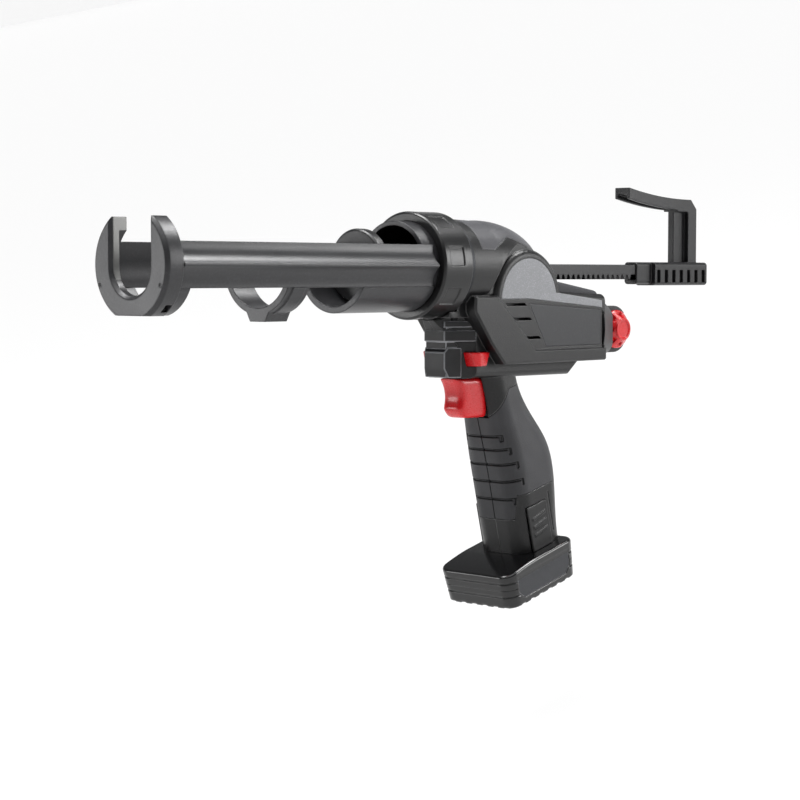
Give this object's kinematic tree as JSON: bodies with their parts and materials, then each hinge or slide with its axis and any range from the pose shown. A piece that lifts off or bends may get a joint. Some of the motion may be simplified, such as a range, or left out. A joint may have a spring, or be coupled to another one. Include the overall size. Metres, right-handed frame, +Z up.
{
  "type": "cordless caulking tool",
  "caption": "Pistol-grip cordless caulking tool: open cartridge cradle, toothed rack with plunger and pull hook, motor housing, trigger, speed dial and battery pack.",
  "frame": {"origin": "middle of the battery's base, on the surface that the tool stands on", "axes": "+X forward towards the nozzle, +Y to the tool's left, +Z up from the battery's base"},
  "size_m": [0.5391, 0.0692, 0.3196],
  "materials": {
    "cradle_metal": "satin",
    "collar_black": "gloss",
    "housing_black": "fine moulded texture",
    "cover_grey": "soft matte",
    "panel_silver": "satin with fine speckle",
    "name_grey": "satin",
    "bumper_black": "matte",
    "cap_grey": "satin",
    "grip_rubber": "matte",
    "cast_alloy": "as cast",
    "motor_metal": "plated",
    "board_green": "satin",
    "inner_black": "satin",
    "screw_steel": "blackened",
    "bush_bronze": "sintered",
    "bearing_steel": "ground",
    "rack_black": "blackened",
    "piston_black": "satin",
    "hook_black": "satin",
    "red_plastic": "gloss",
    "battery_black": "gloss",
    "cell_wrap": "shrink wrap",
    "contact_brass": "plated",
    "plate_black": "satin",
    "latch_black": "satin"
  },
  "bodies": {
    "housing": {"left_housing": "housing_black", "right_housing": "housing_black", "top_cover": "cover_grey", "left_side_panel": "panel_silver", "right_side_panel": "panel_silver", "left_name_panel": "name_grey", "right_name_panel": "name_grey", "front_bumper": "bumper_black", "rear_end_cap": "cap_grey", "left_grip_rubber": "grip_rubber", "right_grip_rubber": "grip_rubber", "gear_case": "cast_alloy", "motor": "motor_metal", "reduction_gearbox": "motor_metal", "control_board": "board_green", "dial_potentiometer": "inner_black", "switch_module": "inner_black", "housing_screws": "screw_steel", "rack_guides": "bush_bronze", "pinion_bearings": "bearing_steel", "terminal_block": "inner_black"},
    "rack": {"rack_bar": "rack_black", "piston_plate": "piston_black", "piston_screw": "screw_steel", "pull_hook": "hook_black", "hook_pins": "screw_steel"},
    "pinion": {"drive_pinion": "bearing_steel"},
    "trigger": {"trigger": "red_plastic"},
    "lock": {"lock_button": "red_plastic"},
    "dial": {"speed_dial": "red_plastic"},
    "collar": {"collar_nut": "collar_black"},
    "cradle": {"cradle_base": "cradle_metal", "left_rail": "cradle_metal", "right_rail": "cradle_metal", "support_ring": "cradle_metal", "front_yoke": "cradle_metal"},
    "battery": {"battery_base": "battery_black", "battery_top": "battery_black", "battery_stick": "battery_black", "battery_cells": "cell_wrap", "battery_contacts": "contact_brass", "left_battery_plate": "plate_black", "right_battery_plate": "plate_black"},
    "left_latch": {"left_latch": "latch_black"},
    "right_latch": {"right_latch": "latch_black"}
  },
  "joints": [
    {"name": "rack_slide", "type": "slide", "parent": "housing", "child": "rack", "axis": [0.969, 0, 0.247], "range_m": [-0.05, 0.15]},
    {"name": "pinion_spin", "type": "hinge", "parent": "housing", "child": "pinion", "pos_m": [0.00197, 0, 0.20685], "axis": [0, 1, 0], "range_deg": [-360, 900]},
    {"name": "trigger_pull", "type": "slide", "parent": "housing", "child": "trigger", "axis": [-0.969, 0, -0.247], "range_m": [0, 0.007], "stiffness_N_per_m": 800, "springref_m": -0.003},
    {"name": "lock_push", "type": "slide", "parent": "housing", "child": "lock", "axis": [0, 1, 0], "range_m": [-0.003, 0]},
    {"name": "dial_turn", "type": "hinge", "parent": "housing", "child": "dial", "pos_m": [-0.14671, 0, 0.14237], "axis": [0, 1, 0], "range_deg": [-135, 135]},
    {"name": "collar_turn", "type": "hinge", "parent": "housing", "child": "collar", "pos_m": [0.04969, 0, 0.23826], "axis": [0.969, 0, 0.247], "continuous": true},
    {"name": "cradle_turn", "type": "hinge", "parent": "housing", "child": "cradle", "pos_m": [0.04969, 0, 0.23826], "axis": [0.969, 0, 0.247], "continuous": true},
    {"name": "battery_slide", "type": "slide", "parent": "housing", "child": "battery", "axis": [0, 0, -1], "range_m": [0, 0.08]},
    {"name": "left_latch_press", "type": "slide", "parent": "battery", "child": "left_latch", "axis": [0, -1, 0], "range_m": [0, 0.002], "stiffness_N_per_m": 1500, "springref_m": -0.001},
    {"name": "right_latch_press", "type": "slide", "parent": "battery", "child": "right_latch", "axis": [0, 1, 0], "range_m": [0, 0.002], "stiffness_N_per_m": 1500, "springref_m": -0.001}
  ],
  "couplings": [
    {"joint": "pinion_spin", "follows": "rack_slide", "rad_per_m": 92.593}
  ]
}
